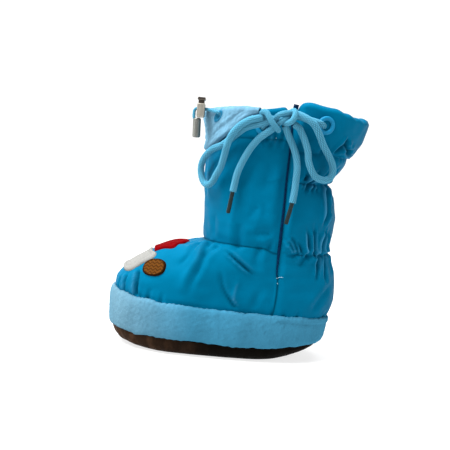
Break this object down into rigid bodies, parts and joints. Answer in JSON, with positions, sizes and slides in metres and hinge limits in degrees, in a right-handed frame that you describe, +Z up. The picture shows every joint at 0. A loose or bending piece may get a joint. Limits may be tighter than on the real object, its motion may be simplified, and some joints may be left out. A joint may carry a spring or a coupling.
{
  "type": "winter bootie",
  "caption": "Child's padded winter bootie: hollow quilted upper, soft sole, velour foot band, side zip, drawcord bow and fleece cuff turned out in front.",
  "frame": {"origin": "on the floor under the middle of the sole's length", "axes": "-X towards the toe, -Y towards the zip (the wearer's left, outer side), +Z up"},
  "size_m": [0.1419, 0.0838, 0.1471],
  "materials": {
    "nylon": "smooth padded nylon, slight sheen",
    "velour": "short velour nap, matt",
    "fleece": "brushed fleece, matt",
    "sole": "dark brown, soft, low sheen",
    "cord": "round braided cord",
    "eyelet": "moulded ring, satin",
    "zip": "woven tape with fine coil",
    "tip": "smooth tipping",
    "barrel": "satin, warm grey",
    "plunger": "polished, dark",
    "sleeve": "satin grey",
    "red_felt": "felt",
    "white_felt": "felt",
    "brown_felt": "felt"
  },
  "bodies": {
    "boot": {"upper": "nylon", "foot_band": "velour", "fleece_cuff": "fleece", "insole": "fleece", "outsole": "sole", "bow_knot": "cord", "bow_loop_front": "cord", "bow_loop_back": "cord", "bow_end_front": "cord", "bow_end_back": "cord", "bow_run_back": "cord", "lock_cord": "cord", "eyelet_front": "eyelet", "eyelet_back": "eyelet", "side_zip": "zip", "bow_tip_front": "tip", "bow_tip_back": "tip", "lock_barrel": "barrel", "lock_cord_end": "sleeve", "patch_mitten": "red_felt", "patch_mitten_cuff": "white_felt", "patch_cone": "brown_felt"},
    "plunger": {"lock_plunger": "plunger"}
  },
  "joints": [
    {"name": "plunger_press", "type": "slide", "parent": "boot", "child": "plunger", "axis": [0, 0, -1], "range_m": [0, 0.0015], "stiffness_N_per_m": 200, "springref_m": -0.004}
  ]
}
